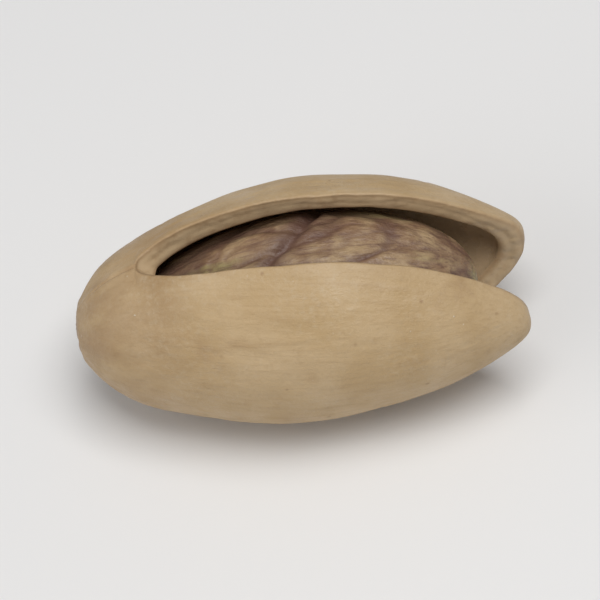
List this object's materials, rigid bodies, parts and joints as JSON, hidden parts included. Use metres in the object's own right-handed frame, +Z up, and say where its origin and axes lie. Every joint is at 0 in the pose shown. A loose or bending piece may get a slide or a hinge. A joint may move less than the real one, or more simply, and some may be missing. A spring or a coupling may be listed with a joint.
{
  "type": "pistachio in shell",
  "caption": "Roasted pistachio lying on its back, its woody shell sprung open along the upper seam and round the tip, with the skinned seed inside.",
  "frame": {"origin": "on the surface the nut rests on, under the middle of its box", "axes": "+X along the nut from the stem end to the tip, Y across the halves of the shell, +Z up through the split"},
  "size_m": [0.022, 0.0116, 0.0112],
  "materials": {
    "shell": "dry, matt tan nutshell with a faint pale bloom, smoother inside",
    "kernel": "thin, wrinkled seed skin, mottled brown and dull purple over green"
  },
  "bodies": {
    "root": {"shell": "shell", "kernel": "kernel"}
  },
  "joints": []
}
